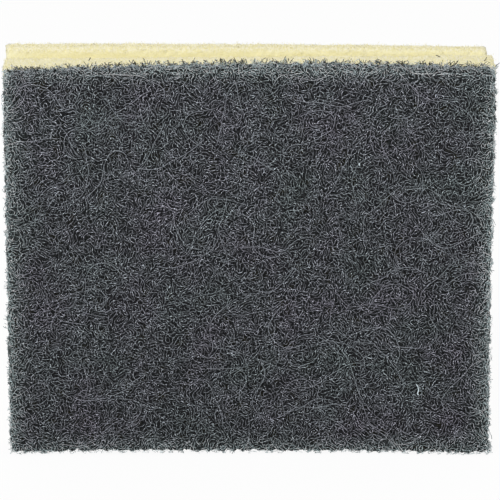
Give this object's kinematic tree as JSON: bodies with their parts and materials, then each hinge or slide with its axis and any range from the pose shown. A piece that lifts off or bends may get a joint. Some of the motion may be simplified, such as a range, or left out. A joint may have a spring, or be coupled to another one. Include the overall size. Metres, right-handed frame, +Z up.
{
  "type": "sponge scourer",
  "caption": "Rectangular sponge scourer on its long edge: a charcoal scouring pad bonded to a pale yellow foam sponge with a finger groove along each long edge.",
  "frame": {"origin": "middle of the block's underside, as it stands on a long edge", "axes": "+X along the block's length, -Y towards the scouring side and +Y towards the foam side, +Z up across the block's width"},
  "size_m": [0.11, 0.027, 0.09],
  "materials": {
    "scouring_web": "open web of curled charcoal fibres, matt in the hollows with a soft glint on the fibres",
    "foam": "matt pale yellow foam with fine open cells"
  },
  "bodies": {
    "root": {"scouring_pad": "scouring_web", "foam_sponge": "foam"}
  },
  "joints": []
}
